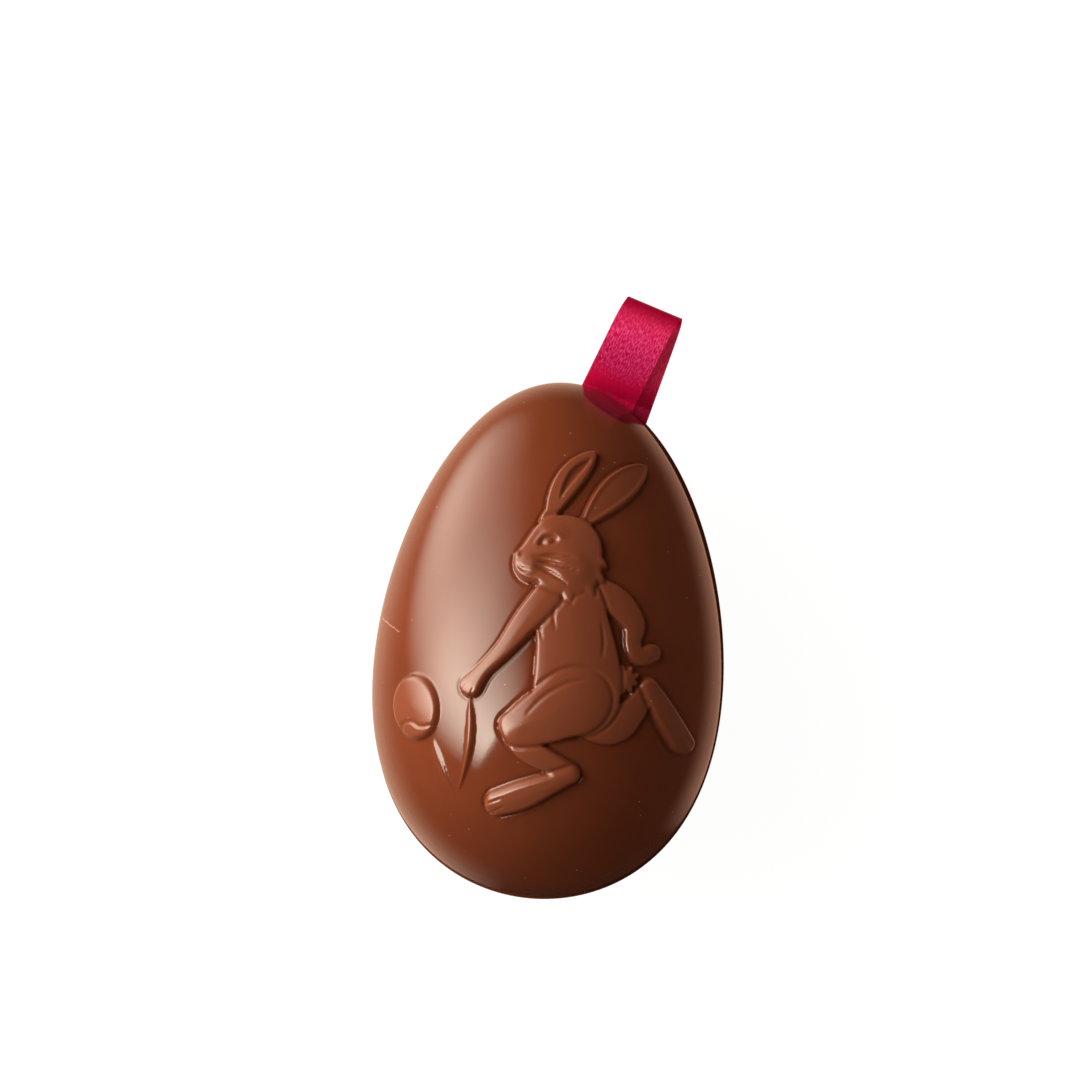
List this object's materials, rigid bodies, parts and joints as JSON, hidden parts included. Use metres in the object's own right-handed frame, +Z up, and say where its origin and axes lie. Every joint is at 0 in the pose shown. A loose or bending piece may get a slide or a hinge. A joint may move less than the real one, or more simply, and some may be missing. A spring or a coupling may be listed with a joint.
{
  "type": "moulded chocolate egg with ribbon loop",
  "caption": "Hollow-look milk chocolate egg of two moulded halves with a running rabbit in relief, lying on its back, with a satin ribbon hanging loop in its seam.",
  "frame": {"origin": "on the surface the egg lies on, under the middle of the whole part's box", "axes": "+Z up, out of the moulded front half; +Y along the egg towards its tip and ribbon; +X to the right as seen from above with the tip up"},
  "size_m": [0.0616, 0.1062, 0.062],
  "materials": {
    "milk_chocolate": "milk chocolate with a soft satin gloss, as it leaves a polished mould",
    "satin_ribbon": "crimson woven satin"
  },
  "bodies": {
    "root": {"front_half": "milk_chocolate", "back_half": "milk_chocolate", "ribbon": "satin_ribbon"}
  },
  "joints": []
}
